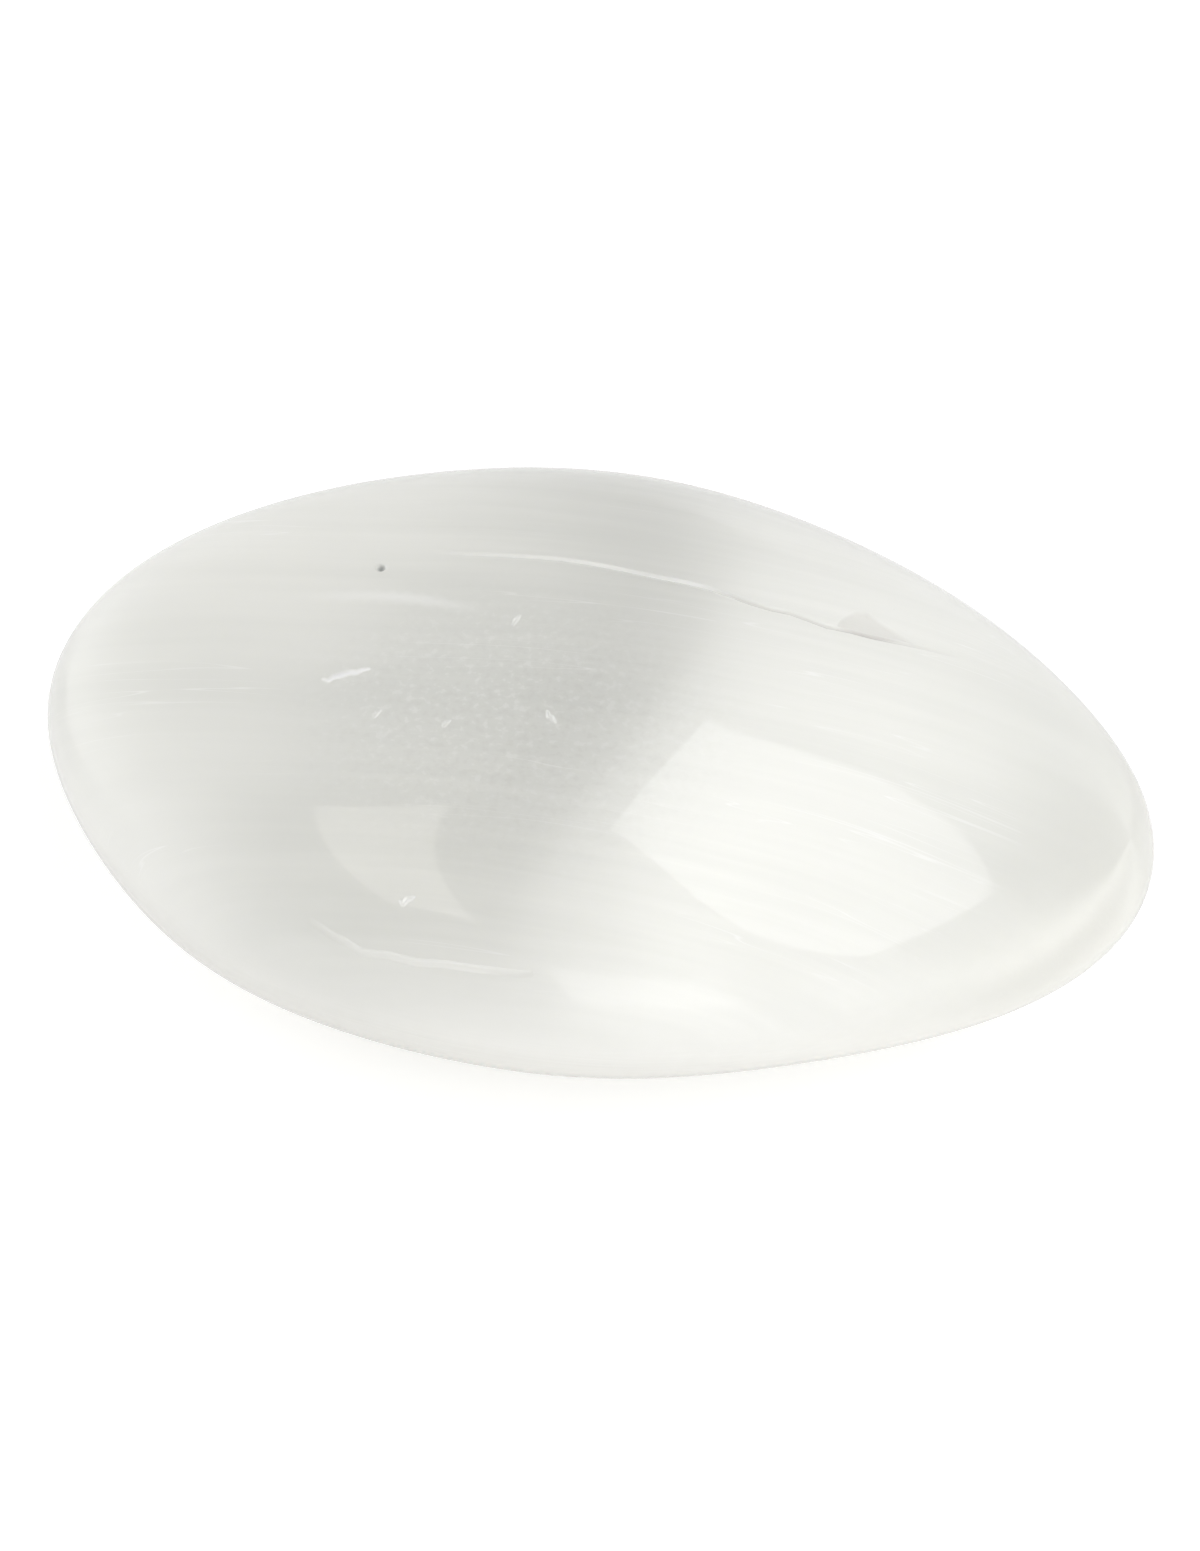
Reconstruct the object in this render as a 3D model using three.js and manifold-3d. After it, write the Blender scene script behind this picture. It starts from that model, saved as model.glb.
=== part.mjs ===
// A tumbled selenite: one pebble of fibrous satin spar, polished all over, lying on its flattest side.
// Millimetres. +Z is up, +X runs along the stone and its fibres, and the origin is the middle of the
// stone's box at its foot.
//
// A tumbled stone is an oval worn down on several sides. Here the oval is an ellipsoid, slimmer at one end
// and skewed a little, and each worn side is a plane. The surface is a soft minimum of them all, so every
// flat rolls over into the next one as it does on the real stone, and a low ridge crosses the top slantwise.
// One side is ground properly flat, and the stone rests on it. A crack along the fibres, a flake beside it,
// a shorter crack low on the near side and a few nicks are cut into the surface.
import * as THREE from "three";
import { mergeVertices } from "three/addons/utils/BufferGeometryUtils.js";
import Module from "manifold-3d";

// The oval that the flats are worn into
const HALF_LENGTH = 20;
const HALF_WIDTH = 12;
const HALF_HEIGHT = 8.2;
const TAPER = 0.14; // how much slimmer the +X end is
const SKEW = 0.22; // how far the far side is drawn towards -X and the near side towards +X
const CRISPNESS = 9; // a higher value leaves sharper turns between the flats

// The worn sides: the compass direction and slope that each one faces, in degrees, and how far it is from
// the stone's middle
const FLATS = [
  { side: "far side", azimuth: 90, slope: 20, distance: 10.7 },
  { side: "far left shoulder", azimuth: 112, slope: 20, distance: 12.3 },
  { side: "near right side", azimuth: -74, slope: -15, distance: 9.5 },
  { side: "near side", azimuth: -96, slope: -15, distance: 9.9 },
  { side: "near left side", azimuth: -132, slope: -10, distance: 14.9 },
  { side: "left end", azimuth: 180, slope: 0, distance: 20.6 },
  { side: "right end, near", azimuth: -38, slope: 40, distance: 10.1 },
  { side: "right end, far", azimuth: 40, slope: 40, distance: 11.9 },
  { side: "top, left of the ridge", azimuth: 145, slope: 76, distance: 8 },
  { side: "top, right of the ridge", azimuth: -30, slope: 64, distance: 8.2 },
  { side: "underside", azimuth: 0, slope: -90, distance: 7.2 },
  { side: "underside, far left", azimuth: 140, slope: -50, distance: 9 },
  { side: "underside, near right", azimuth: -60, slope: -50, distance: 9.4 },
];
const FOOT_DEPTH = 6.8; // from the stone's middle down to the ground face that it rests on

// Mesh fineness: the splits of each edge of an icosahedron, and how far its points are drawn along the stone
const EDGE_SPLITS = 16;
const DRAWN_OUT = new THREE.Vector3(1.45, 1, 0.8);

// Marks, placed as seen from above, from the stone's middle
const CRACK = {
  points: [[-7.2, 4.6], [-3, 4.45], [0.8, 4.1], [3.5, 3.8], [6, 3.7], [9.4, 4.05]],
  width: 0.24,
  depth: 0.12,
};
const SHORT_CRACK = {
  points: [[-9.2, -7.8], [-7.4, -8.5], [-4, -8.9], [-2.1, -8.9]],
  width: 0.2,
  depth: 0.09,
};
const FLAKE = { x: 6.65, y: 4.35, turn: 4, length: 1.9, width: 1.25, depth: 0.17 };
const NICKS = [
  { x: -9.2, y: -0.15, turn: 22, length: 1.5, width: 0.24, depth: 0.1 },
  { x: -4.2, y: 2.1, turn: 60, length: 0.5, width: 0.26, depth: 0.1 },
  { x: -2.6, y: -1.3, turn: -40, length: 0.5, width: 0.24, depth: 0.09 },
  { x: -6.2, y: -7.3, turn: 30, length: 0.5, width: 0.24, depth: 0.09 },
  { x: -8.7, y: 3.9, turn: 0, length: 0.3, width: 0.3, depth: 0.14 },
];
const CUT_STEPS_PER_MM = 1.6; // sections along a crack's cutter
const CUTTER_RISE = 0.5; // how far a cutter stands out of the surface, so that it cuts cleanly

const SELENITE = new THREE.MeshStandardMaterial({ color: 0xe6e7e2, roughness: 0.22, metalness: 0 });

const wasm = await Module();
wasm.setup();

function towards({ azimuth, slope }) {
  const turn = THREE.MathUtils.degToRad(azimuth);
  const rise = THREE.MathUtils.degToRad(slope);
  return new THREE.Vector3(Math.cos(rise) * Math.cos(turn), Math.cos(rise) * Math.sin(turn), Math.sin(rise));
}

const WORN = FLATS.map((flat) => ({ normal: towards(flat), distance: flat.distance }));

// The distance from the stone's middle to its surface along a unit direction
function reach(direction) {
  const { x, y, z } = direction;
  const oval = Math.hypot(x / HALF_LENGTH, y / HALF_WIDTH, z / HALF_HEIGHT) * (1 + TAPER * x + SKEW * x * y);
  let sum = oval ** CRISPNESS;
  for (const { normal, distance } of WORN) {
    sum += Math.max(0, direction.dot(normal) / distance) ** CRISPNESS;
  }
  return sum ** (-1 / CRISPNESS);
}

// The point on the top of the stone above a place in its plan, found by halving
function topAt(x, y) {
  let low = 0;
  let high = HALF_HEIGHT;
  for (let step = 0; step < 40; step += 1) {
    const point = new THREE.Vector3(x, y, (low + high) / 2);
    const inside = point.length() < reach(point.clone().normalize());
    if (inside) {
      low = point.z;
    } else {
      high = point.z;
    }
  }
  return new THREE.Vector3(x, y, low);
}

// The outward direction of the surface there, from the slope between neighbouring points
function outwardAt(x, y) {
  const STEP = 0.05;
  const along = topAt(x + STEP, y).sub(topAt(x - STEP, y));
  const across = topAt(x, y + STEP).sub(topAt(x, y - STEP));
  return along.cross(across).normalize();
}

function solidFrom(geometry) {
  const bare = geometry.clone();
  bare.deleteAttribute("normal");
  bare.deleteAttribute("uv");
  const merged = mergeVertices(bare, 1e-4);
  return new wasm.Manifold(
    new wasm.Mesh({
      numProp: 3,
      vertProperties: new Float32Array(merged.attributes.position.array),
      triVerts: new Uint32Array(merged.index.array),
    }),
  );
}

function geometryFrom(solid) {
  const mesh = solid.getMesh();
  const geometry = new THREE.BufferGeometry();
  geometry.setAttribute("position", new THREE.BufferAttribute(mesh.vertProperties, 3));
  geometry.setIndex(new THREE.BufferAttribute(mesh.triVerts, 1));
  geometry.computeVertexNormals();
  return geometry;
}

function wornPebble() {
  const geometry = new THREE.IcosahedronGeometry(1, EDGE_SPLITS);
  const position = geometry.attributes.position;
  const point = new THREE.Vector3();
  for (let i = 0; i < position.count; i += 1) {
    point.fromBufferAttribute(position, i).multiply(DRAWN_OUT).normalize();
    point.multiplyScalar(reach(point));
    position.setXYZ(i, point.x, point.y, point.z);
  }
  return solidFrom(geometry);
}

// What the grinding of the foot takes off
function belowFoot() {
  const box = new THREE.BoxGeometry(4 * HALF_LENGTH, 4 * HALF_WIDTH, HALF_HEIGHT);
  box.translate(0, 0, -FOOT_DEPTH - HALF_HEIGHT / 2);
  return solidFrom(box);
}

// A wedge that follows the surface along a crack, thinning to a point at both ends
function crackCutter({ points, width, depth }) {
  const plan = new THREE.CatmullRomCurve3(points.map(([x, y]) => new THREE.Vector3(x, y, 0)));
  const steps = Math.ceil(plan.getLength() * CUT_STEPS_PER_MM);
  const vertices = [];
  for (let i = 0; i <= steps; i += 1) {
    const share = i / steps;
    const { x, y } = plan.getPointAt(share);
    const top = topAt(x, y);
    const outward = outwardAt(x, y);
    const sideways = outward.clone().cross(plan.getTangentAt(share)).normalize();
    const fade = 0.25 + 0.75 * Math.sin(Math.PI * share) ** 0.5;
    const widen = 1 + CUTTER_RISE / depth;
    const bottom = top.clone().addScaledVector(outward, -depth * fade);
    const rim = top.clone().addScaledVector(outward, CUTTER_RISE * fade);
    const halfRim = (width / 2) * fade * widen;
    vertices.push(bottom);
    vertices.push(rim.clone().addScaledVector(sideways, halfRim));
    vertices.push(rim.clone().addScaledVector(sideways, -halfRim));
  }
  const SIDES = 3;
  const index = [];
  for (let i = 0; i < steps; i += 1) {
    for (let side = 0; side < SIDES; side += 1) {
      const a = i * SIDES + side;
      const b = i * SIDES + ((side + 1) % SIDES);
      index.push(a, b, a + SIDES, b, b + SIDES, a + SIDES);
    }
  }
  const last = steps * SIDES;
  index.push(0, 2, 1, last, last + 1, last + 2);
  const geometry = new THREE.BufferGeometry().setFromPoints(vertices);
  geometry.setIndex(index);
  return solidFrom(geometry);
}

// A lens that scoops a shallow oval of the stated length, width and depth out of the top
function scoopCutter({ x, y, turn, length, width, depth }) {
  const LENS_HEIGHT = 4 * depth;
  const wider = 1 / Math.sqrt(1 - ((LENS_HEIGHT - depth) / LENS_HEIGHT) ** 2);
  const lens = new THREE.SphereGeometry(1, 14, 10);
  lens.scale((length / 2) * wider, (width / 2) * wider, LENS_HEIGHT);
  lens.rotateZ(THREE.MathUtils.degToRad(turn));
  const outward = outwardAt(x, y);
  const upright = new THREE.Vector3(0, 0, 1);
  lens.applyQuaternion(new THREE.Quaternion().setFromUnitVectors(upright, outward));
  const middle = topAt(x, y).addScaledVector(outward, LENS_HEIGHT - depth);
  lens.translate(middle.x, middle.y, middle.z);
  return solidFrom(lens);
}

let stone = wornPebble().subtract(belowFoot());
for (const crack of [CRACK, SHORT_CRACK]) {
  stone = stone.subtract(crackCutter(crack));
}
for (const scoop of [FLAKE, ...NICKS]) {
  stone = stone.subtract(scoopCutter(scoop));
}

const selenite = new THREE.Mesh(geometryFrom(stone), SELENITE);
selenite.name = "selenite_stone";

// The middle of the box's foot becomes the origin
const box = new THREE.Box3().setFromObject(selenite);
const middle = box.getCenter(new THREE.Vector3());
selenite.position.set(-middle.x, -middle.y, -box.min.z);

const tumbledSelenite = new THREE.Group();
tumbledSelenite.add(selenite);

export default tumbledSelenite;
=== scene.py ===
"""The looks of a tumbled selenite: a milky, silky stone of straight gypsum fibres, polished all over."""
import math

import bmesh
import bpy
import numpy as np
from mathutils import Matrix, Vector


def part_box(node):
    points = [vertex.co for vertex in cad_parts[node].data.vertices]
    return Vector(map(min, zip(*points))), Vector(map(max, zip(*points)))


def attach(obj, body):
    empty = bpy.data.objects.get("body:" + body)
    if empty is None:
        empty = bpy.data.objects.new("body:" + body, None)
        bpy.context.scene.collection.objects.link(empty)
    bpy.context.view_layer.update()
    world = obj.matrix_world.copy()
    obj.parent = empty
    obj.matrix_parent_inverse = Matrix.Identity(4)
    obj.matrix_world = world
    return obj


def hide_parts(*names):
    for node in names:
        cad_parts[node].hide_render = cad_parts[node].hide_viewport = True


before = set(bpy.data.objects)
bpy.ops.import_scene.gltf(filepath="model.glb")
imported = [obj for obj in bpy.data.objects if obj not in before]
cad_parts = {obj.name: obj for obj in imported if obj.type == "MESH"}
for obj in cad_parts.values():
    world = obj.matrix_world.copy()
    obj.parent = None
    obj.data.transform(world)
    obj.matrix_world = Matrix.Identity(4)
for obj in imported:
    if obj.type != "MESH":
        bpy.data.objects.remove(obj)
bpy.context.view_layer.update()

bl_info = {
    "name": "Tumbled selenite",
    "version": (1, 0, 0),
    "blender": (4, 5, 0),
    "location": "3D View > Sidebar > Selenite",
    "description": "Makes a tumbled selenite stone and the pale studio that it is shown in",
    "category": "Add Mesh",
}

MM = 0.001
STONE_NODE = "selenite_stone"
STONE_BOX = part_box(STONE_NODE)

# The worn sides: the compass direction and slope that each one faces, in degrees, and how far it is from
# the stone's middle in millimetres
FLATS = (
    ("Far side", 90, 20, 10.7),
    ("Far left shoulder", 112, 20, 12.3),
    ("Near right side", -74, -15, 9.5),
    ("Near side", -96, -15, 9.9),
    ("Near left side", -132, -10, 14.9),
    ("Left end", 180, 0, 20.6),
    ("Right end, near", -38, 40, 10.1),
    ("Right end, far", 40, 40, 11.9),
    ("Top, left of the ridge", 145, 76, 8.0),
    ("Top, right of the ridge", -30, 64, 8.2),
    ("Underside", 0, -90, 7.2),
    ("Underside, far left", 140, -50, 9.0),
    ("Underside, near right", -60, -50, 9.4),
)
MIDDLE_OFFSET = (1.2, -0.59)  # from the middle of the stone's box to the point that it is all measured from
FOOT_DEPTH = 6.8  # from that point down to the ground face that the stone rests on
WAVE_SCALE = 230.0  # waves of the surface per metre, roughly
WAVES_DRAWN_OUT = (0.6, 1.0, 1.0)  # along the stone they are longer than across it
QUICK_TURN = math.radians(2.2)  # edges that the surface turns more than this along are split once more
BALL_SPLITS = 7  # the ball of triangles that the stone is worn from has 20 x 4^6 of them
DRAWN_OUT = (1.45, 1.0, 0.8)  # how far the ball's points are drawn along the stone before it is worn
FINER_NEAR_MARKS = (0.55, 0.3, 0.17)  # edges this near to a mark are split, once for each of these distances

# Marks, placed as seen from above, in millimetres from the stone's middle
CRACK_PATH = ((-7.2, 4.6), (-3.0, 4.45), (0.8, 4.1), (3.5, 3.8), (6.0, 3.7), (9.4, 4.05))
SHORT_CRACK_PATH = ((-9.2, -7.8), (-7.4, -8.5), (-4.0, -8.9), (-2.1, -8.9))
VEIN_PATH = ((-11.1, 2.75), (-7.9, 2.8), (-5.0, 2.35))
SCRATCH_PATH = ((-9.85, -0.4), (-9.2, -0.12), (-8.5, 0.1))
NICK_PATHS = (
    ((-4.3, 1.9), (-4.1, 2.3)),
    ((-2.75, -1.15), (-2.45, -1.45)),
    ((-6.4, -7.4), (-6.0, -7.2)),
    ((-8.1, -1.6), (-7.9, -1.4)),
    ((-5.9, -1.8), (-5.7, -1.65)),
)
INCLUSION = (-8.7, 3.9)
INCLUSION_RADIUS = 0.15
INCLUSION_DEPTH = 0.1
CRACK_JUMPS = 0.03  # how far a crack jumps to either side, from fibre to fibre
CRACK_WHITENESS = 0.62  # the shares of white, and of clay below, are of their full colour
CRACK_CLAY = 0.3
CRACK_CLAY_REACH = 0.06
CRACK_OPENS = 0.5  # the share of the crack's length where it starts to open
CRACK_OPENING = 0.12  # and the share of it over which it does
CLAY_AT = 6.6  # where the crack under the flake holds most clay
CLAY_SPREAD = 1.1  # and how far along the crack it goes from there
MOST_CLAY = 0.55
MOST_CLAY_REACH = 0.11
SHORT_CRACK_JUMPS = 0.04
SHORT_CRACK_WHITENESS = 0.28
SHORT_CRACK_SHARE = 0.7  # of the long one's depth
BRUISE_REACH = 0.1  # how far the white, crushed gypsum goes to either side of a crack
VEIN_REACH = 0.22
VEIN_WHITENESS = 0.45
SCRATCH_JUMPS = 0.025
SCRATCH_REACH = 0.15
SCRATCH_WHITENESS = 0.9
SCRATCH_DEPTH = 0.04
SCRATCH_FLOOR = 0.7  # the share of a scratch's breadth that is cut in
NICK_REACH = 0.12
NICK_WHITENESS = 0.42
FLAKE_START = 5.6  # the flake lies along the crack from here to here, and thins out towards its end
FLAKE_END = 8.3
FLAKE_BREADTH = 1.15
FLAKE_OPENS = 0.3  # the share of its length over which it reaches its full breadth
FLAKE_THINS = 0.8  # and the share of it over which it thins out to nothing
FLAKE_MIDDLE = (6.6, 4.2)
FLAKE_REACH = 1.0  # how far from its middle the mesh is made finer
FLAKE_LIP = 0.22  # how far in from its edge the flake reaches its full depth
FLAKE_DEPTH = 0.05
FLAKE_CLAY = 0.17

# Painted shade, in millimetres: parts made less milky, and so greyer, to darken them: a grainy core whose
# grain is the stone's own, a belt that crosses the stone beside it, and the slim end
SHADED_CORE = (-3.7, -1.4, 6.0)  # the core's middle, from the stone's middle
CORE_SIZE = (6.5, 4.5, 6.0)
CORE_SHADE_WITHIN = (0.15, 1.3)  # where the painted shade fades out, in terms of the core's size
GRAINY_WITHIN = (0.3, 1.35)  # and where the grain does
CORE_SHADE = 0.3  # how much milkiness the core takes away, as painted shade over the stone's thick middle
BELT_HEADING = 66.5  # the compass direction that the belt runs in, in degrees
BELT_ASIDE = 2.4  # how far to the left of the core's middle it passes
BELT_MIDDLE = 1.0  # how far it goes to either side undimmed
BELT_REACH = 6.0  # and before it has faded out
# how much milkiness the belt takes away, as painted shade along the dark band of the fibres' sheen
BELT_SHADE = 0.37
SHADED_TIP = (8.5, 15.5)  # the slim end is painted less milky, as shade, from here to here along the stone
# how much milkiness the slim end loses, as painted shade
TIP_SHADE = 0.4

# The kinds of bands: their width and length in terms of a fine band's, and their own place in the noise
BANDS = {
    "fine": (1, 1, 3.7),
    "broad": (4.5, 4, 8.1),
    "clouds": (20, 1.6, 1.3),
    "wisps": (1.1, 1.3, 5.9),
    "where wisps are": (6, 1, 2.4),
}

# The values of the noise at which a band is clear and milky, and at which wisps, flecks and pores come in
# and are full
BAND_NOISE = (0.3, 0.7)
WISPS_NOISE = (0.52, 0.62)
FLECK_NOISE = (0.56, 0.68)
PORE_NOISE = (0.46, 0.34)

# The slow bends of the fibres: how many there are per metre, and how far they go, in millimetres
BEND_SCALE = 70.0
BEND_REACH = 1.1

# Where the finish changes with the height above the ground, or along the stone, in millimetres
BUNDLES_BELOW = (10.5, 6.5)  # the upright sheets of fibres give way to round bundles
WARM_BOUNCE_BELOW = (10.0, 3.0)  # the warm tint, painted on the lower part as bounce light, comes in
WARM_BOUNCE_SHARE = 0.65
WISPS_ABOVE = (8.5, 11.0)
WISP_BREADTH = 0.012  # in terms of the noise that they are drawn from
STREAKS_AT = 1.0  # the streaks are strongest here along the stone
STREAKS_FADE = (5.0, 12.0)  # and weaken over these distances from there
STREAKS_LEFT = 0.35  # what is left of them at the ends

# What the bands of fibres add to the milkiness, which is 0 for clear gypsum and 1 for the whitest
PLAIN_MILKINESS = 0.52
FINE_SHARE = 0.17
BROAD_SHARE = 0.2
CLOUD_SHARE = 0.25
WISP_SHARE = 0.6
FLECK_SHARE = 0.3
PORE_SHARE = 0.08
SILKINESS = 0.4  # how much of the stone's gloss comes from its fibres

# The fine relief of the polished surface
RELIEF = 0.022  # its height, in millimetres
FINE_RELIEF = 0.75
BROAD_RELIEF = 0.25
FLECK_RELIEF = 0.12

# The photograph: its size in pixels, the pixel where the stone's middle lies, and its scale
PHOTO_WIDTH = 1200
PHOTO_HEIGHT = 1551
STONE_PIXEL = (640.2, 796.0)
PIXELS_PER_METRE = 31800
SENSOR_WIDTH = 36  # of the camera, in millimetres

# The long soft box hangs level over the stone and runs off to the right. Sizes are in terms of its height.
BOX_HEADING = -23.5  # the compass direction that it runs off in, in degrees
BOX_AHEAD = 1.5  # how far its middle lies in that direction
BOX_ASIDE = 0.265  # and how far to the left of it
BOX_LENGTH = 2.65
BOX_WIDTH = 0.43

# The other two lights: where they stand from the stone's middle, and their sizes, in metres
WINDOW_AT = (-0.294, -0.27, 0.7)
WINDOW_SIZE = (0.14, 0.72)
WINDOW_COLOUR = (1, 0.97, 0.9)
FILL_AT = (0.24, -0.64, 0.24)
FILL_SIZE = (0.62, 0.4)
LEFT_WALL_HEADING = 165  # the compass direction in which the left wall is brightest
LIT_SIDE_EDGE = (-0.06, 0.08)  # how far its edge is blurred, as sines of the angle across it
TABLE_SIZE = 4
TABLE_WHITE = 0.9


class SeleniteShape(bpy.types.PropertyGroup):
    """Sizes of the stone."""

    half_length: bpy.props.FloatProperty(
        name="Half length", description="Half of the length of the oval that is worn down",
        default=20 * MM, min=MM, unit="LENGTH")
    half_width: bpy.props.FloatProperty(
        name="Half width", description="Half of the width of the oval that is worn down",
        default=12 * MM, min=MM, unit="LENGTH")
    half_height: bpy.props.FloatProperty(
        name="Half height", description="Half of the height of the oval that is worn down",
        default=8.2 * MM, min=MM, unit="LENGTH")
    taper: bpy.props.FloatProperty(
        name="Taper", description="How much slimmer one end is", default=0.14, min=0, max=0.5)
    skew: bpy.props.FloatProperty(
        name="Skew", description="How far the far side is drawn one way and the near side the other",
        default=0.22, min=0, max=0.5)
    crispness: bpy.props.FloatProperty(
        name="Crispness", description="A higher value leaves sharper turns between the worn sides",
        default=9, min=4, max=20)
    foot_depth: bpy.props.FloatProperty(
        name="Foot depth", description="From the stone's middle down to the ground face that it rests on",
        default=FOOT_DEPTH * MM, min=MM, unit="LENGTH")
    waviness: bpy.props.FloatProperty(
        name="Waviness", description="Height of the slow waves that tumbling leaves in the surface",
        default=0.035 * MM, min=0, unit="LENGTH")
    groove_depth: bpy.props.FloatProperty(
        name="Groove depth", description="Depth of the long crack",
        default=0.07 * MM, min=0, unit="LENGTH")
    groove_width: bpy.props.FloatProperty(
        name="Groove width", description="Width of the long crack at the surface",
        default=0.17 * MM, min=0.05 * MM, unit="LENGTH")


class SeleniteFinish(bpy.types.PropertyGroup):
    """Colours and lustre of the stone."""

    milky: bpy.props.FloatVectorProperty(
        name="Milky fibres", description="Colour of the whitest fibres",
        subtype="COLOR", size=3, default=(0.915, 0.915, 0.875), min=0, max=1)
    clear: bpy.props.FloatVectorProperty(
        name="Clear fibres", description="Colour of the clearer fibres, which look greyer",
        subtype="COLOR", size=3, default=(0.77, 0.775, 0.74), min=0, max=1)
    # A warm tint painted on the stone's lower part, as warm light bounced up from below
    warm_bounce_tint: bpy.props.FloatVectorProperty(
        name="Warm bounce tint", description="Colour of the warmer patches",
        subtype="COLOR", size=3, default=(0.9, 0.885, 0.815), min=0, max=1)
    bruise: bpy.props.FloatVectorProperty(
        name="Bruises", description="Colour of crushed, air-filled gypsum in cracks and scratches",
        subtype="COLOR", size=3, default=(0.97, 0.97, 0.95), min=0, max=1)
    soil: bpy.props.FloatVectorProperty(
        name="Soil", description="Colour of the clay in the flaked patch and the open end of the crack",
        subtype="COLOR", size=3, default=(0.50, 0.46, 0.44), min=0, max=1)
    inclusion: bpy.props.FloatVectorProperty(
        name="Inclusion", description="Colour of the dark grain in the stone",
        subtype="COLOR", size=3, default=(0.38, 0.39, 0.38), min=0, max=1)
    fibre_width: bpy.props.FloatProperty(
        name="Fibre width", description="Width of a fine band of fibres",
        default=0.3 * MM, min=0.02 * MM, unit="LENGTH")
    fibre_length: bpy.props.FloatProperty(
        name="Fibre length", description="Length of a fine band of fibres",
        default=9 * MM, min=MM, unit="LENGTH")
    # The grains lie in the core. The core is also painted greyer, as shade, where the stone is thickest.
    grain_size: bpy.props.FloatProperty(
        name="Grain size", description="Size of the grains in the clear core",
        default=0.2 * MM, min=0.02 * MM, unit="LENGTH")
    sheet_depth: bpy.props.FloatProperty(
        name="Sheet depth", description="How far a band of fibres goes on downwards, as an upright sheet",
        default=9 * MM, min=MM, unit="LENGTH")


class SeleniteStudio(bpy.types.PropertyGroup):
    """Camera, floor and lights."""

    azimuth: bpy.props.FloatProperty(
        name="Azimuth", description="Compass direction of the camera, from the front",
        default=math.radians(8), subtype="ANGLE", unit="ROTATION")
    elevation: bpy.props.FloatProperty(
        name="Elevation", description="Height of the camera above the horizon",
        default=math.radians(64), subtype="ANGLE", unit="ROTATION")
    lens: bpy.props.FloatProperty(
        name="Lens", description="Focal length of the camera, in millimetres", default=200, min=20)
    softbox_height: bpy.props.FloatProperty(
        name="Soft box height", description="How high the long soft box hangs above the stone",
        default=0.5, min=0.1, unit="LENGTH")
    softbox_power: bpy.props.FloatProperty(
        name="Soft box power", description="Power of the long soft box",
        default=1.35, min=0, unit="POWER")
    fill_power: bpy.props.FloatProperty(
        name="Fill power", description="Power of the fill light in front",
        default=0.66, min=0, unit="POWER")
    window_power: bpy.props.FloatProperty(
        name="Window power", description="Power of the small light on the left",
        default=0.38, min=0, unit="POWER")
    left_wall: bpy.props.FloatProperty(
        name="Left wall", description="Brightness of the surround on the left", default=1.28, min=0)
    other_walls: bpy.props.FloatProperty(
        name="Front and back walls", description="Brightness of the surround in front and behind",
        default=0.28, min=0)
    lit_side: bpy.props.FloatProperty(
        name="Lit side", description="Brightness of the surround's whole right side",
        default=0.77, min=0)
    lit_edge: bpy.props.FloatProperty(
        name="Lit side heading", description="Compass direction in which the middle of the lit side lies",
        default=math.radians(-14), subtype="ANGLE", unit="ROTATION")
    floor_glow: bpy.props.FloatProperty(
        name="Floor glow", description="How much brighter the white table looks to the camera",
        default=0.3, min=0)
    floor_light: bpy.props.FloatProperty(
        name="Floor light", description="How much light the table gives off by itself",
        default=0.08, min=0)


def facing(azimuth, slope):
    """The unit direction of a compass direction and a slope in degrees."""
    turn = math.radians(azimuth)
    rise = math.radians(slope)
    return Vector((math.cos(rise) * math.cos(turn), math.cos(rise) * math.sin(turn), math.sin(rise)))


def stone_middle():
    """The point that the shape and the marks are measured from, in the frame."""
    low, high = STONE_BOX
    middle = (low + high) / 2 + Vector(MIDDLE_OFFSET + (0,)) * MM
    middle.z = low.z + bpy.context.scene.selenite_shape.foot_depth
    return middle


def opaque(colour):
    return tuple(colour) + (1.0,)


class NodeWriter:
    """Adds nodes to a tree and joins them. A value for a socket is a number, or another node's output."""

    def __init__(self, tree):
        self.tree = tree

    def add(self, kind, *inputs, **settings):
        node = self.tree.nodes.new(kind)
        named = settings.pop("named", {})
        for key, value in settings.items():
            setattr(node, key, value)
        for place, value in list(enumerate(inputs)) + list(named.items()):
            self.fill(node.inputs[place], value)
        return node

    def fill(self, socket, value):
        if isinstance(value, bpy.types.NodeSocket):
            self.tree.links.new(value, socket)
        elif value is not None:
            socket.default_value = value

    def math(self, operation, *inputs):
        return self.add("ShaderNodeMath", *inputs, operation=operation).outputs[0]

    def vector(self, operation, *inputs):
        node = self.add("ShaderNodeVectorMath", *inputs, operation=operation)
        gives_number = operation in ("DOT_PRODUCT", "LENGTH")
        return node.outputs["Value" if gives_number else "Vector"]

    def scaled(self, vector, factor):
        node = self.add("ShaderNodeVectorMath", vector, operation="SCALE")
        self.fill(node.inputs["Scale"], factor)
        return node.outputs["Vector"]

    def blend(self, first, second, share):
        return self.math("MULTIPLY_ADD", self.math("SUBTRACT", second, first), share, first)

    def ranged(self, value, low, high, to_low=0.0, to_high=1.0, smooth=False):
        node = self.add("ShaderNodeMapRange", value, low, high, to_low, to_high)
        node.interpolation_type = "SMOOTHSTEP" if smooth else "LINEAR"
        return node.outputs[0]

    def fading(self, value, limits, to_low=0.0, to_high=1.0):
        """A smooth change from one value to another between two limits in millimetres."""
        low, high = limits
        return self.ranged(value, low * MM, high * MM, to_low, to_high, smooth=True)

    def laid_over(self, under, factor, over):
        """One colour laid over another by a factor."""
        mix = self.add("ShaderNodeMix", data_type="RGBA", blend_type="MIX")
        colours = [socket for socket in mix.inputs if socket.type == "RGBA"]
        self.fill(mix.inputs["Factor"], factor)
        self.fill(colours[0], under)
        self.fill(colours[1], opaque(over))
        return [socket for socket in mix.outputs if socket.type == "RGBA"][0]


# The shape: a ball of points, each moved along its own direction until it meets the worn surface

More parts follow.
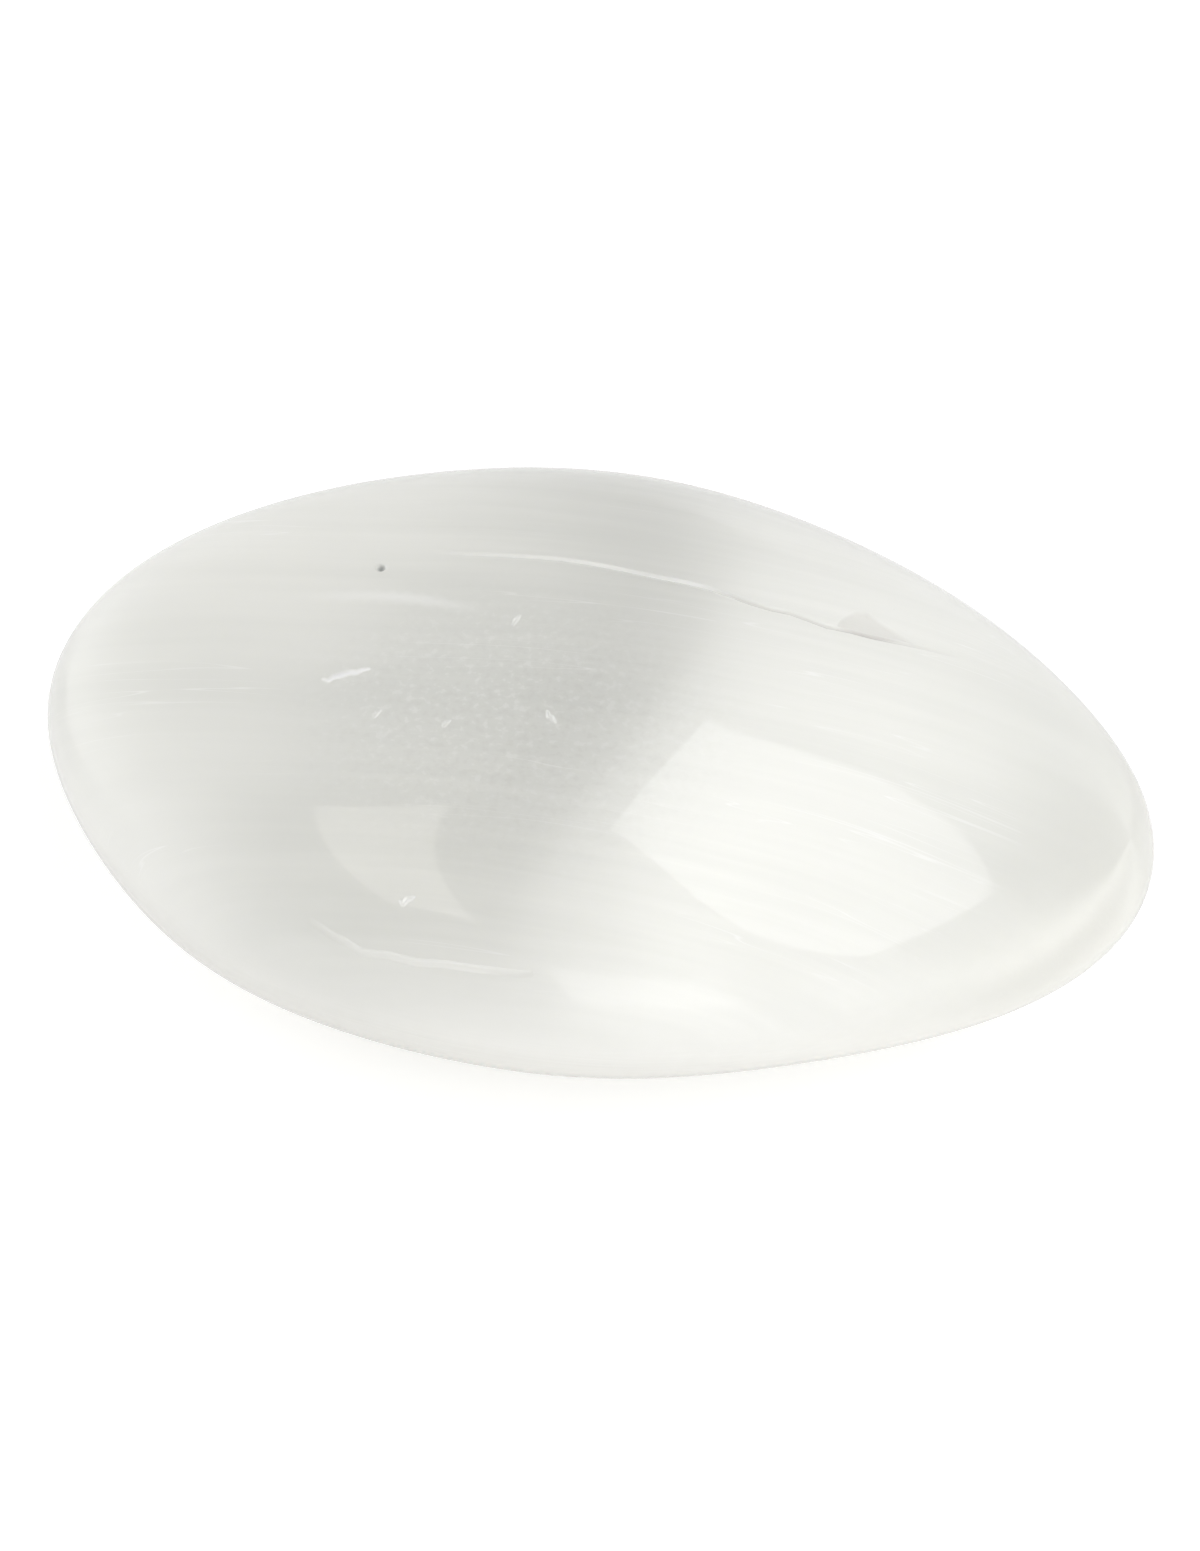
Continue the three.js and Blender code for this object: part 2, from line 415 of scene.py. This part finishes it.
def worn_reach(w, direction, sizes):
    """How far the worn surface is from the stone's middle in a direction, before the foot is ground flat."""
    along, across, _ = w.add("ShaderNodeSeparateXYZ", direction).outputs
    halves = [sizes[name] for name in ("Half length", "Half width", "Half height")]
    half_sizes = w.add("ShaderNodeCombineXYZ", *halves).outputs[0]
    oval = w.vector("LENGTH", w.vector("DIVIDE", direction, half_sizes))
    tapered = w.math("MULTIPLY_ADD", along, sizes["Taper"], 1.0)
    skewed = w.math("MULTIPLY_ADD", w.math("MULTIPLY", along, across), sizes["Skew"], tapered)
    total = w.math("POWER", w.math("MULTIPLY", oval, skewed), sizes["Crispness"])
    for name, azimuth, slope, _ in FLATS:
        towards = w.vector("DOT_PRODUCT", direction, tuple(facing(azimuth, slope)))
        share = w.math("DIVIDE", w.math("MAXIMUM", towards, 0.0), sizes[name])
        total = w.math("ADD", total, w.math("POWER", share, sizes["Crispness"]))
    reach = w.math("POWER", total, w.math("DIVIDE", -1.0, sizes["Crispness"]))

    stretched = w.vector("MULTIPLY", w.scaled(direction, reach), WAVES_DRAWN_OUT)
    waves = w.add("ShaderNodeTexNoise", named={"Vector": stretched, "Scale": WAVE_SCALE, "Detail": 1.0})
    return w.math("MULTIPLY_ADD", w.math("SUBTRACT", waves.outputs[0], 0.5), sizes["Waviness"], reach)


def pebble_tree(finish_material):
    """The rule of the stone's shape as a Geometry Nodes tree, with its sizes as named inputs."""
    tree = bpy.data.node_groups.new("worn pebble", "GeometryNodeTree")
    tree.is_modifier = True
    sockets = tree.interface
    sockets.new_socket("Geometry", in_out="INPUT", socket_type="NodeSocketGeometry")
    names = ("Half length", "Half width", "Half height", "Taper", "Skew", "Crispness", "Foot depth",
             "Waviness")
    for name in names + tuple(flat[0] for flat in FLATS):
        sockets.new_socket(name, in_out="INPUT", socket_type="NodeSocketFloat")
    sockets.new_socket("Geometry", in_out="OUTPUT", socket_type="NodeSocketGeometry")

    w = NodeWriter(tree)
    sizes = w.add("NodeGroupInput").outputs
    direction = w.vector("NORMALIZE", w.add("GeometryNodeInputPosition").outputs[0])
    upwards = w.add("ShaderNodeSeparateXYZ", direction).outputs["Z"]
    downwards = w.math("MAXIMUM", w.math("MULTIPLY", upwards, -1.0), 0.001)
    to_foot = w.math("DIVIDE", sizes["Foot depth"], downwards)
    reach = w.math("MINIMUM", worn_reach(w, direction, sizes), to_foot)

    moved = w.add("GeometryNodeSetPosition", sizes["Geometry"])
    w.fill(moved.inputs["Position"], w.scaled(direction, reach))
    whole = w.add("GeometryNodeRealizeInstances", moved.outputs[0])
    dressed = w.add("GeometryNodeSetMaterial", whole.outputs[0])
    dressed.inputs["Material"].default_value = finish_material
    w.add("NodeGroupOutput", dressed.outputs[0])
    return tree


def worn(mesh, tree, shape):
    """The mesh that the rule makes of a mesh of directions."""
    stone = bpy.data.objects.new("directions", mesh)
    bpy.context.scene.collection.objects.link(stone)
    modifier = stone.modifiers.new("Worn pebble", "NODES")
    modifier.node_group = tree
    values = {
        "Half length": shape.half_length,
        "Half width": shape.half_width,
        "Half height": shape.half_height,
        "Taper": shape.taper,
        "Skew": shape.skew,
        "Crispness": shape.crispness,
        "Foot depth": shape.foot_depth,
        "Waviness": shape.waviness,
    }
    values.update({name: distance * MM for name, _, _, distance in FLATS})
    for item in tree.interface.items_tree:
        if item.item_type == "SOCKET" and item.in_out == "INPUT" and item.name in values:
            modifier[item.identifier] = values[item.name]
    evaluated = stone.evaluated_get(bpy.context.evaluated_depsgraph_get())
    result = bpy.data.meshes.new_from_object(evaluated)
    stone.modifiers.clear()
    bpy.data.objects.remove(stone)
    return result


def ball_of_directions():
    """A ball of triangles, drawn out along the stone so that its triangles come out of one size."""
    ball = bmesh.new()
    bmesh.ops.create_icosphere(ball, subdivisions=BALL_SPLITS, radius=1)
    bmesh.ops.scale(ball, vec=DRAWN_OUT, verts=ball.verts)
    mesh = bpy.data.meshes.new("directions")
    ball.to_mesh(mesh)
    ball.free()
    return mesh


# The marks: cracks, scratch, nicks, flake and inclusion are cut into the mesh and painted as attributes

def smooth_path(points, steps=12):
    """A finer line through the points of a path, by Catmull and Rom's rule, in metres."""
    points = np.array(points, float) * MM
    ends = np.vstack([2 * points[0] - points[1], points, 2 * points[-1] - points[-2]])
    line = []
    for i in range(1, len(ends) - 2):
        before, here, there, after = ends[i - 1:i + 3]
        for t in np.linspace(0, 1, steps, endpoint=False):
            line.append(0.5 * (2 * here + (there - before) * t
                               + (2 * before - 5 * here + 4 * there - after) * t ** 2
                               + (3 * here - before - 3 * there + after) * t ** 3))
    return np.array(line + [points[-1]])


def ragged(line, amount, seed):
    """The line with small steps to either side, as a crack has that jumps from fibre to fibre."""
    chance = np.random.default_rng(seed)
    jumps = chance.normal(0, amount, (len(line) + 2) // 3)
    drift = np.interp(np.arange(len(line)), np.arange(0, len(line), 3), jumps)
    return line + np.column_stack([np.zeros(len(line)), drift])


def distance_to(line, places):
    """For each place in the plan, its distance to a line, and how far along the line it is, from 0 to 1."""
    best = np.full(len(places), np.inf)
    where = np.zeros(len(places))
    lengths = np.linalg.norm(np.diff(line, axis=0), axis=1)
    done = np.concatenate([[0], np.cumsum(lengths)]) / lengths.sum()
    for i, length in enumerate(lengths):
        edge = (line[i + 1] - line[i]) / length
        step = np.clip((places - line[i]) @ edge, 0, length)
        gap = np.linalg.norm(places - line[i] - step[:, None] * edge, axis=1)
        closer = gap < best
        best[closer] = gap[closer]
        where[closer] = done[i] + step[closer] / length * (done[i + 1] - done[i])
    return best, where


def distance_from(spot, places):
    """For each place in the plan, its distance from a spot that is given in millimetres."""
    return np.linalg.norm(places - np.array(spot) * MM, axis=1)


def crack_line():
    return ragged(smooth_path(CRACK_PATH), CRACK_JUMPS * MM, seed=5)


def short_crack_line():
    return ragged(smooth_path(SHORT_CRACK_PATH), SHORT_CRACK_JUMPS * MM, seed=8)


def coordinates(mesh):
    places = np.empty(len(mesh.vertices) * 3)
    mesh.vertices.foreach_get("co", places)
    return places.reshape(-1, 3)


def nearness(places):
    """How far each place is from the nearest mark, as seen from above."""
    plan = places[:, :2]
    near = distance_from(INCLUSION, plan)
    short_marks = [smooth_path(path) for path in (SCRATCH_PATH,) + NICK_PATHS]
    for line in [crack_line(), short_crack_line()] + short_marks:
        near = np.minimum(near, distance_to(line, plan)[0])
    near = np.minimum(near, distance_from(FLAKE_MIDDLE, plan) - FLAKE_REACH * MM)
    near[places[:, 2] < 0] = np.inf
    return near


def refined(mesh):
    """The mesh with smaller triangles where the stone rolls over quickly, and the smallest at the marks."""
    work = bmesh.new()
    work.from_mesh(mesh)

    def split(edges):
        bmesh.ops.subdivide_edges(work, edges=edges, cuts=1, use_grid_fill=True)
        bmesh.ops.triangulate(work, faces=[face for face in work.faces if len(face.verts) > 3])
        work.normal_update()

    work.normal_update()
    split([edge for edge in work.edges if edge.verts[0].normal.angle(edge.verts[1].normal) > QUICK_TURN])
    for reach in FINER_NEAR_MARKS:
        near = nearness(np.array([vert.co for vert in work.verts]))
        work.verts.index_update()
        split([edge for edge in work.edges if max(near[vert.index] for vert in edge.verts) < reach * MM])
    finer = bpy.data.meshes.new("finer")
    work.to_mesh(finer)
    work.free()
    return finer


def hollow(gap, half_width):
    """1 in the middle of a groove, falling to 0 at its edge and beyond."""
    return np.clip(1 - (gap / half_width) ** 2, 0, 1)


def swell(where):
    """0 at both ends of a line and 1 in its middle."""
    return np.clip(np.sin(np.pi * where), 0, 1)


class Marks:
    """How deep each point is cut, and how bruised, soiled or dark it is. Marks are added one by one."""

    def __init__(self, plan):
        self.plan = plan
        self.amounts = {name: np.zeros(len(plan)) for name in ("depth", "bruise", "soil", "inclusion")}

    def add(self, name, amount):
        self.amounts[name] = np.maximum(self.amounts[name], amount)


def add_long_crack(marks, shape):
    """The long crack: white with crushed gypsum where it is closed, and holding clay where it is open."""
    gap, where = distance_to(crack_line(), marks.plan)
    fade = np.sqrt(swell(where))
    opened = np.clip((where - CRACK_OPENS) / CRACK_OPENING, 0, 1)
    widest = hollow(np.abs(marks.plan[:, 0] / MM - CLAY_AT), CLAY_SPREAD)
    marks.add("depth", shape.groove_depth * fade * hollow(gap, shape.groove_width / 2))
    marks.add("bruise", CRACK_WHITENESS * fade * (1 - opened) * hollow(gap, BRUISE_REACH * MM))
    marks.add("soil", CRACK_CLAY * fade * opened * hollow(gap, CRACK_CLAY_REACH * MM))
    marks.add("soil", MOST_CLAY * widest * hollow(gap, MOST_CLAY_REACH * MM))


def add_short_crack(marks, shape):
    gap, where = distance_to(short_crack_line(), marks.plan)
    fade = np.sqrt(swell(where))
    depth = SHORT_CRACK_SHARE * shape.groove_depth * fade
    marks.add("depth", depth * hollow(gap, shape.groove_width / 2))
    marks.add("bruise", SHORT_CRACK_WHITENESS * fade * hollow(gap, BRUISE_REACH * MM))


def add_vein(marks):
    gap, where = distance_to(smooth_path(VEIN_PATH), marks.plan)
    marks.add("bruise", VEIN_WHITENESS * swell(where) * hollow(gap, VEIN_REACH * MM))


def add_scratch(marks, path, reach, whiteness):
    line = ragged(smooth_path(path), SCRATCH_JUMPS * MM, seed=3)
    gap, where = distance_to(line, marks.plan)
    taper = 0.5 + 0.5 * swell(where)
    marks.add("depth", SCRATCH_DEPTH * MM * taper * hollow(gap, SCRATCH_FLOOR * reach * MM * taper))
    marks.add("bruise", whiteness * hollow(gap, reach * MM * taper))


def add_flake(marks):
    """The flake: a thin chip lifted off along the far side of the crack, with a trace of clay on it."""
    along = (marks.plan[:, 0] / MM - FLAKE_START) / (FLAKE_END - FLAKE_START)
    crack = crack_line()
    across = (marks.plan[:, 1] - np.interp(marks.plan[:, 0], crack[:, 0], crack[:, 1])) / MM
    opening = np.sqrt(np.clip(along / FLAKE_OPENS, 0, 1))
    breadth = FLAKE_BREADTH * opening * np.clip((1 - along) / FLAKE_THINS, 0, 1)
    inside = np.clip(np.minimum(across, breadth - across) / FLAKE_LIP, 0, 1)
    inside = inside * inside * (3 - 2 * inside)
    marks.add("depth", FLAKE_DEPTH * MM * inside)
    marks.add("soil", FLAKE_CLAY * inside)


def add_dark_grain(marks):
    gap = distance_from(INCLUSION, marks.plan)
    marks.add("depth", INCLUSION_DEPTH * MM * hollow(gap, INCLUSION_RADIUS * MM))
    marks.add("inclusion", hollow(gap, INCLUSION_RADIUS * MM))


def cut_marks(mesh, shape):
    """Cuts the marks into the stone, and keeps what each point's colour needs in attributes."""
    places = coordinates(mesh)
    normals = np.empty(len(places) * 3)
    mesh.vertex_normals.foreach_get("vector", normals)
    marks = Marks(places[:, :2])
    add_long_crack(marks, shape)
    add_short_crack(marks, shape)
    add_vein(marks)
    add_scratch(marks, SCRATCH_PATH, SCRATCH_REACH, SCRATCH_WHITENESS)
    for path in NICK_PATHS:
        add_scratch(marks, path, NICK_REACH, NICK_WHITENESS)
    add_flake(marks)
    add_dark_grain(marks)

    underside = places[:, 2] <= 0
    for amount in marks.amounts.values():
        amount[underside] = 0
    depth = marks.amounts.pop("depth")
    mesh.vertices.foreach_set("co", (places - normals.reshape(-1, 3) * depth[:, None]).ravel())
    for name, amount in marks.amounts.items():
        mesh.attributes.new(name, "FLOAT", "POINT").data.foreach_set("value", amount.astype(np.float32))
    mesh.update()


# The finish: white fibres in clearer gypsum under a polished skin

class SatinSpar:
    """The pattern of the stone: bands of fibres, grain and wisps, painted shade on its core, a belt and the
    slim end, and a warm tint painted low down as bounce light.
    """

    def __init__(self, w, finish):
        self.w = w
        self.finish = finish
        self.place = w.add("ShaderNodeTexCoord").outputs["Object"]
        self.along, _, self.height = w.add("ShaderNodeSeparateXYZ", self.place).outputs
        bend = w.add("ShaderNodeTexNoise", named={"Vector": self.place, "Scale": BEND_SCALE, "Detail": 1.0})
        from_middle = w.vector("SUBTRACT", bend.outputs["Color"], (0.5, 0.5, 0.5))
        sideways = w.vector("MULTIPLY", from_middle, (0.0, BEND_REACH * MM, 0.0))
        self.fibre_place = w.vector("ADD", self.place, sideways)

        self.sides = w.fading(self.height, BUNDLES_BELOW)
        self.fine = self.bands_all_round("fine")
        self.broad = self.bands_all_round("broad")
        from_streaks = w.math("ABSOLUTE", w.math("SUBTRACT", self.along, STREAKS_AT * MM))
        self.streaky = w.fading(from_streaks, STREAKS_FADE, 1.0, STREAKS_LEFT)

        # The core's middle and size. Its grain is the stone's own, and it is painted greyer as shade for the
        # darkness of the stone's thick middle.
        self.from_core = w.vector("SUBTRACT", self.place, tuple(stone_middle() + Vector(SHADED_CORE) * MM))
        in_core_sizes = w.vector("DIVIDE", self.from_core, tuple(Vector(CORE_SIZE) * MM))
        self.core_share = w.vector("LENGTH", in_core_sizes)
        grain_at = w.add("ShaderNodeMapping", self.place, named={"Scale": (0.8, 1.0, 1.0)}).outputs[0]
        grain = w.add("ShaderNodeTexNoise",
                      named={"Vector": grain_at, "Scale": 1 / finish.grain_size, "Detail": 2.0})
        grainy = w.ranged(self.core_share, *GRAINY_WITHIN, 1.0, 0.0, smooth=True)
        self.flecks = w.math("MULTIPLY", w.ranged(grain.outputs[0], *FLECK_NOISE), grainy)
        self.pores = w.math("MULTIPLY", w.ranged(grain.outputs[0], *PORE_NOISE), grainy)

    def bands(self, kind, depth, detail=2.0):
        """Noise drawn out along the fibres, for bands of a kind that go on as deep as stated."""
        widths, lengths, seed = BANDS[kind]
        length, width = lengths * self.finish.fibre_length, widths * self.finish.fibre_width
        scale = (1 / length, 1 / width, 1 / depth)
        at = self.w.add("ShaderNodeMapping", self.fibre_place,
                        named={"Scale": scale, "Location": (seed, seed, seed)})
        noise = self.w.add("ShaderNodeTexNoise", named={
            "Vector": at.outputs[0], "Scale": 1.0, "Detail": detail, "Roughness": 0.55})
        return noise.outputs[0]

    def bands_all_round(self, kind):
        """Bands that are upright sheets in the stone's top, and round bundles lower down."""
        sheets = self.bands(kind, self.finish.sheet_depth)
        bundles = self.bands(kind, BANDS[kind][0] * self.finish.fibre_width)
        return self.w.blend(sheets, bundles, self.sides)

    def milkiness(self):
        """How much of the whitest fibres' colour each place has. Less of it is painted on the core, the belt
        and the slim end, as shade.
        """
        w = self.w
        clouds = self.bands("clouds", self.finish.sheet_depth)
        streaks = w.math("SUBTRACT", w.ranged(self.fine, *BAND_NOISE), 0.5)
        streaks = w.math("MULTIPLY", streaks, self.streaky)
        total = w.math("MULTIPLY_ADD", streaks, FINE_SHARE, PLAIN_MILKINESS)
        total = w.math("MULTIPLY_ADD", w.ranged(self.broad, *BAND_NOISE), BROAD_SHARE, total)
        total = w.math("MULTIPLY_ADD", w.ranged(clouds, *BAND_NOISE), CLOUD_SHARE, total)
        # Painted shade: the thick core is made greyer
        core = w.ranged(self.core_share, *CORE_SHADE_WITHIN, 1.0, 0.0, smooth=True)
        total = w.math("MULTIPLY_ADD", core, -CORE_SHADE, total)
        # Painted shade: a belt beside the core, along the dark band where the fibres' sheen is dim
        across_belt = w.vector("DOT_PRODUCT", self.from_core, tuple(facing(BELT_HEADING - 90, 0)))
        from_belt = w.math("ABSOLUTE", w.math("ADD", across_belt, BELT_ASIDE * MM))
        belt = w.fading(from_belt, (BELT_MIDDLE, BELT_REACH), 1.0, 0.0)
        total = w.math("MULTIPLY_ADD", belt, -BELT_SHADE, total)
        # Painted shade: the slim end is made greyer
        shaded_tip = w.fading(self.along, SHADED_TIP)
        return w.math("MULTIPLY_ADD", shaded_tip, -TIP_SHADE, total)

    def wisps(self):
        """Thin white lines here and there in the stone's top, where a slow noise passes its middle value."""
        w = self.w
        slow = self.bands("wisps", self.finish.sheet_depth, detail=1.0)
        from_middle = w.math("ABSOLUTE", w.math("SUBTRACT", slow, 0.5))
        line = w.ranged(from_middle, 0.0, WISP_BREADTH, 1.0, 0.0, smooth=True)
        line = w.math("MULTIPLY", line, w.fading(self.height, WISPS_ABOVE))
        here = self.bands("where wisps are", self.finish.sheet_depth, detail=1.0)
        return w.math("MULTIPLY", line, w.ranged(here, *WISPS_NOISE, smooth=True))

    def colour(self):
        """The colour of the stone before its marks are laid over it."""
        w = self.w
        finish = self.finish
        # Painted bounce light: the lower part takes a warm tint
        low_down = w.fading(self.height, WARM_BOUNCE_BELOW, 0.0, WARM_BOUNCE_SHARE)
        layers = (
            (self.milkiness(), finish.milky),
            (low_down, finish.warm_bounce_tint),
            (w.math("MULTIPLY", self.wisps(), WISP_SHARE), finish.bruise),
            (w.math("MULTIPLY", self.flecks, FLECK_SHARE), finish.bruise),
            (w.math("MULTIPLY", self.pores, PORE_SHARE), finish.soil),
        )
        colour = opaque(finish.clear)
        for factor, over in layers:
            colour = w.laid_over(colour, factor, over)
        return colour

    def relief(self):
        w = self.w
        fibres = w.math("MULTIPLY_ADD", self.fine, FINE_RELIEF, w.math("MULTIPLY", self.broad, BROAD_RELIEF))
        return w.math("MULTIPLY_ADD", self.flecks, FLECK_RELIEF, w.math("MULTIPLY", fibres, self.streaky))


def selenite_finish(finish):
    """Milky satin spar: straight bands of fibres, a silky lobe across them, and a clear polished skin."""
    material = bpy.data.materials.new("satin spar")
    material.use_nodes = True
    material.node_tree.nodes.clear()
    w = NodeWriter(material.node_tree)
    spar = SatinSpar(w, finish)

    colour = spar.colour()
    unmarked = 1.0
    for name, tint in (("bruise", finish.bruise), ("soil", finish.soil), ("inclusion", finish.inclusion)):
        mark = w.add("ShaderNodeAttribute", attribute_name=name).outputs["Fac"]
        colour = w.laid_over(colour, mark, tint)
        unmarked = w.math("MULTIPLY", unmarked, w.math("SUBTRACT", 1.0, mark))
    bump = w.add("ShaderNodeBump", named={"Strength": 1.0, "Distance": RELIEF * MM, "Height": spar.relief()})

    skin = w.add("ShaderNodeBsdfPrincipled", distribution="MULTI_GGX", subsurface_method="RANDOM_WALK")
    w.fill(skin.inputs["Base Color"], colour)
    w.fill(skin.inputs["Normal"], bump.outputs[0])
    w.fill(skin.inputs["Tangent"], w.add("ShaderNodeTangent", direction_type="RADIAL", axis="X").outputs[0])
    w.fill(skin.inputs["Metallic"], w.math("MULTIPLY", unmarked, SILKINESS))
    fixed = {
        "Roughness": 0.5,
        "IOR": 1.52,
        "Subsurface Weight": 1.0,
        "Subsurface Radius": (1.0, 1.0, 0.95),
        "Subsurface Scale": 3.5 * MM,
        "Subsurface Anisotropy": 0.3,
        "Specular IOR Level": 0.5,
        "Anisotropic": 0.95,
        "Coat Weight": 1.0,
        "Coat Roughness": 0.04,
        "Coat IOR": 1.52,
    }
    for name, value in fixed.items():
        skin.inputs[name].default_value = value
    w.add("ShaderNodeOutputMaterial", skin.outputs[0])
    return material


# The studio: a white table in a tent, a long soft box overhead, a window on the left and a fill in front

def floor_finish(studio):
    """A white table that gives off a little light, and looks brighter still to the camera."""
    material = bpy.data.materials.new("white table")
    material.use_nodes = True
    w = NodeWriter(material.node_tree)
    skin = material.node_tree.nodes["Principled BSDF"]
    skin.inputs["Base Color"].default_value = opaque((TABLE_WHITE, TABLE_WHITE, TABLE_WHITE))
    skin.inputs["Roughness"].default_value = 0.8
    skin.inputs["Emission Color"].default_value = (1, 1, 1, 1)
    seen = w.add("ShaderNodeLightPath").outputs["Is Camera Ray"]
    w.fill(skin.inputs["Emission Strength"], w.ranged(seen, 0, 1, studio.floor_light, studio.floor_glow))
    return material


def white_surround(studio):
    """A tent around the table: its walls on the left, in front and behind are lit, and all of its right."""
    world = bpy.data.worlds.new("white surround")
    world.use_nodes = True
    world.node_tree.nodes.clear()
    w = NodeWriter(world.node_tree)
    direction = w.add("ShaderNodeTexCoord").outputs["Generated"]
    forwards = w.add("ShaderNodeSeparateXYZ", direction).outputs["Y"]
    leftwards = w.vector("DOT_PRODUCT", direction, tuple(facing(LEFT_WALL_HEADING, 0)))
    lit_side = facing(math.degrees(studio.lit_edge), 0)
    rightwards = w.vector("DOT_PRODUCT", direction, tuple(lit_side))
    low, high = LIT_SIDE_EDGE
    strength = w.ranged(rightwards, low, high, 0.0, studio.lit_side, smooth=True)
    strength = w.math("MULTIPLY_ADD", w.math("MAXIMUM", leftwards, 0.0), studio.left_wall, strength)
    strength = w.math("MULTIPLY_ADD", w.math("ABSOLUTE", forwards), studio.other_walls, strength)
    surround = w.add("ShaderNodeBackground", (1, 1, 1, 1), strength)
    w.add("ShaderNodeOutputWorld", surround.outputs[0])
    return world


def white_table(studio):
    bpy.ops.mesh.primitive_plane_add(size=TABLE_SIZE, location=(0, 0, STONE_BOX[0].z))
    floor = bpy.context.object
    floor.name = "white_table"
    floor.data.materials.append(floor_finish(studio))


def level_panel(name, offset, size, power):
    """A rectangular soft light that hangs level, shining down, at an offset from the stone's middle."""
    lamp = bpy.data.lights.new(name, "AREA")
    lamp.shape = "RECTANGLE"
    lamp.size, lamp.size_y = size
    lamp.energy = power
    panel = bpy.data.objects.new(name, lamp)
    bpy.context.scene.collection.objects.link(panel)
    panel.location = stone_middle() + Vector(offset)
    return panel


def three_lights(studio):
    height = studio.softbox_height
    over = Vector((0, 0, 1)) + BOX_AHEAD * facing(BOX_HEADING, 0) + BOX_ASIDE * facing(BOX_HEADING + 90, 0)
    size = (BOX_LENGTH * height, BOX_WIDTH * height)
    soft_box = level_panel("long_soft_box", height * over, size, studio.softbox_power)
    soft_box.rotation_euler.z = math.radians(BOX_HEADING)
    window = level_panel("left_window", WINDOW_AT, WINDOW_SIZE, studio.window_power)
    window.data.color = WINDOW_COLOUR
    fill = level_panel("front_fill", FILL_AT, FILL_SIZE, studio.fill_power)
    fill.rotation_euler = (-Vector(FILL_AT)).to_track_quat("-Z", "Y").to_euler()


def photo_camera(studio):
    """The camera at the photograph's angle, at which the stone has its place and size in the photograph."""
    camera = bpy.data.cameras.new("camera")
    camera.lens = studio.lens
    camera.sensor_width = SENSOR_WIDTH
    camera.clip_start = 0.01
    viewer = bpy.data.objects.new("camera", camera)
    bpy.context.scene.collection.objects.link(viewer)
    turn, rise = studio.azimuth, studio.elevation
    back = facing(math.degrees(turn) - 90, math.degrees(rise))
    right = Vector((math.cos(turn), math.sin(turn), 0))
    up = back.cross(right)
    distance = studio.lens / SENSOR_WIDTH * PHOTO_HEIGHT / PIXELS_PER_METRE
    aside = (PHOTO_WIDTH / 2 - STONE_PIXEL[0]) / PIXELS_PER_METRE
    above = (STONE_PIXEL[1] - PHOTO_HEIGHT / 2) / PIXELS_PER_METRE
    viewer.location = stone_middle() + back * distance + right * aside + up * above
    viewer.rotation_euler = back.to_track_quat("Z", "Y").to_euler()
    return viewer


class MakeStone(bpy.types.Operator):
    """Makes the tumbled selenite, worn, marked and finished, in place of the plain solid"""

    bl_idname = "selenite.make_stone"
    bl_label = "Make the stone"

    def execute(self, context):
        shape = context.scene.selenite_shape
        material = selenite_finish(context.scene.selenite_finish)
        tree = pebble_tree(material)
        mesh = worn(refined(worn(ball_of_directions(), tree, shape)), tree, shape)
        cut_marks(mesh, shape)
        mesh.name = "tumbled_selenite"
        mesh.polygons.foreach_set("use_smooth", [True] * len(mesh.polygons))
        mesh.transform(Matrix.Translation(stone_middle()))
        stone = bpy.data.objects.new("tumbled_selenite", mesh)
        context.scene.collection.objects.link(stone)
        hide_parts(STONE_NODE)
        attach(stone, "root")
        return {"FINISHED"}


class MakeStudio(bpy.types.Operator):
    """Sets up the white table, the lights, the surround and the camera"""

    bl_idname = "selenite.make_studio"
    bl_label = "Set up the studio"

    def execute(self, context):
        scene = context.scene
        studio = scene.selenite_studio
        white_table(studio)
        three_lights(studio)
        scene.world = white_surround(studio)
        scene.view_settings.view_transform = "Standard"
        scene.camera = photo_camera(studio)
        return {"FINISHED"}


class SelenitePanel(bpy.types.Panel):
    """Lists the steps and sizes of the tumbled selenite"""

    bl_idname = "VIEW3D_PT_selenite"
    bl_label = "Tumbled selenite"
    bl_space_type = "VIEW_3D"
    bl_region_type = "UI"
    bl_category = "Selenite"

    def draw(self, context):
        for operator in OPERATORS:
            self.layout.operator(operator.bl_idname)
        for name in GROUPS:
            settings = getattr(context.scene, name)
            for prop in settings.bl_rna.properties:
                if prop.identifier not in ("rna_type", "name"):
                    self.layout.prop(settings, prop.identifier)


OPERATORS = (MakeStone, MakeStudio)
GROUPS = {
    "selenite_shape": SeleniteShape,
    "selenite_finish": SeleniteFinish,
    "selenite_studio": SeleniteStudio,
}


def register():
    for group in GROUPS.values():
        bpy.utils.register_class(group)
    for name, group in GROUPS.items():
        setattr(bpy.types.Scene, name, bpy.props.PointerProperty(type=group))
    for operator in OPERATORS:
        bpy.utils.register_class(operator)
    bpy.utils.register_class(SelenitePanel)


def unregister():
    bpy.utils.unregister_class(SelenitePanel)
    for operator in reversed(OPERATORS):
        bpy.utils.unregister_class(operator)
    for name, group in GROUPS.items():
        delattr(bpy.types.Scene, name)
        bpy.utils.unregister_class(group)


def main():
    register()
    bpy.ops.selenite.make_stone()
    bpy.ops.selenite.make_studio()


if __name__ == "__main__":
    main()
